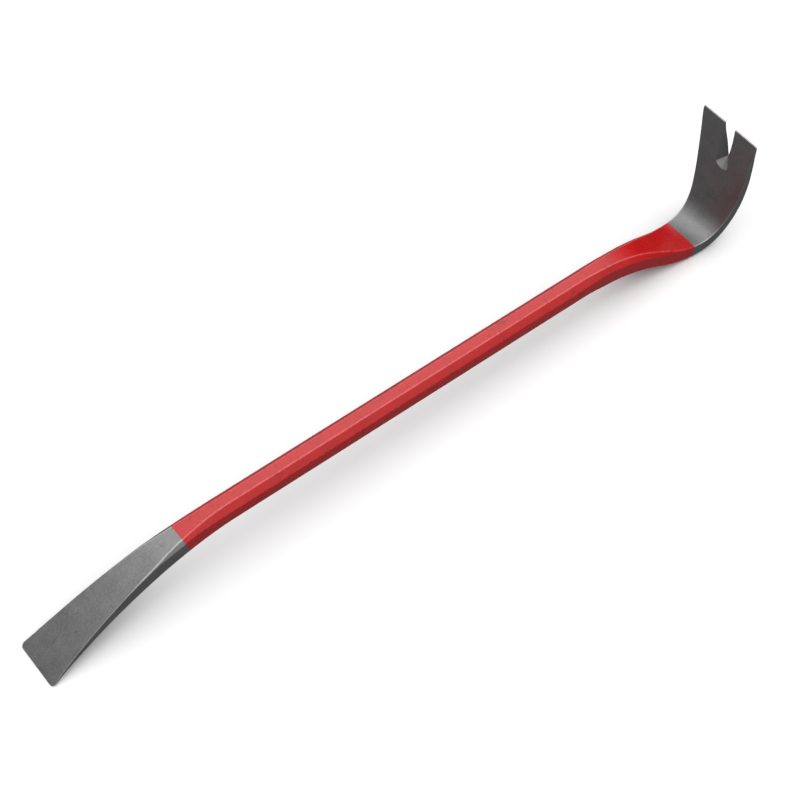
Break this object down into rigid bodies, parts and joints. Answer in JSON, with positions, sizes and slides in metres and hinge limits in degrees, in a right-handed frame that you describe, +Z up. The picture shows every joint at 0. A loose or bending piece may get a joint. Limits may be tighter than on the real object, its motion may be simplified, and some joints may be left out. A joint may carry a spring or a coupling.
{
  "type": "pry bar",
  "caption": "Steel pry bar with an octagonal red-painted shank, a flared chisel blade at one end and a bent claw with a nail slot at the other.",
  "frame": {"origin": "centre of the bar's box, on the flat surface that the bar lies on", "axes": "+X runs along the bar from the chisel blade to the claw, +Z is up with the claw tips pointing up, +Y is across the bar, square to its plane of symmetry"},
  "size_m": [0.6272, 0.056, 0.1096],
  "materials": {
    "bare_steel": "dull ground steel with fine scratches under a clear lacquer",
    "red_paint": "satin red paint with small wear marks"
  },
  "bodies": {
    "root": {"forged_bar": "bare_steel", "red_shank_coat": "red_paint"}
  },
  "joints": []
}
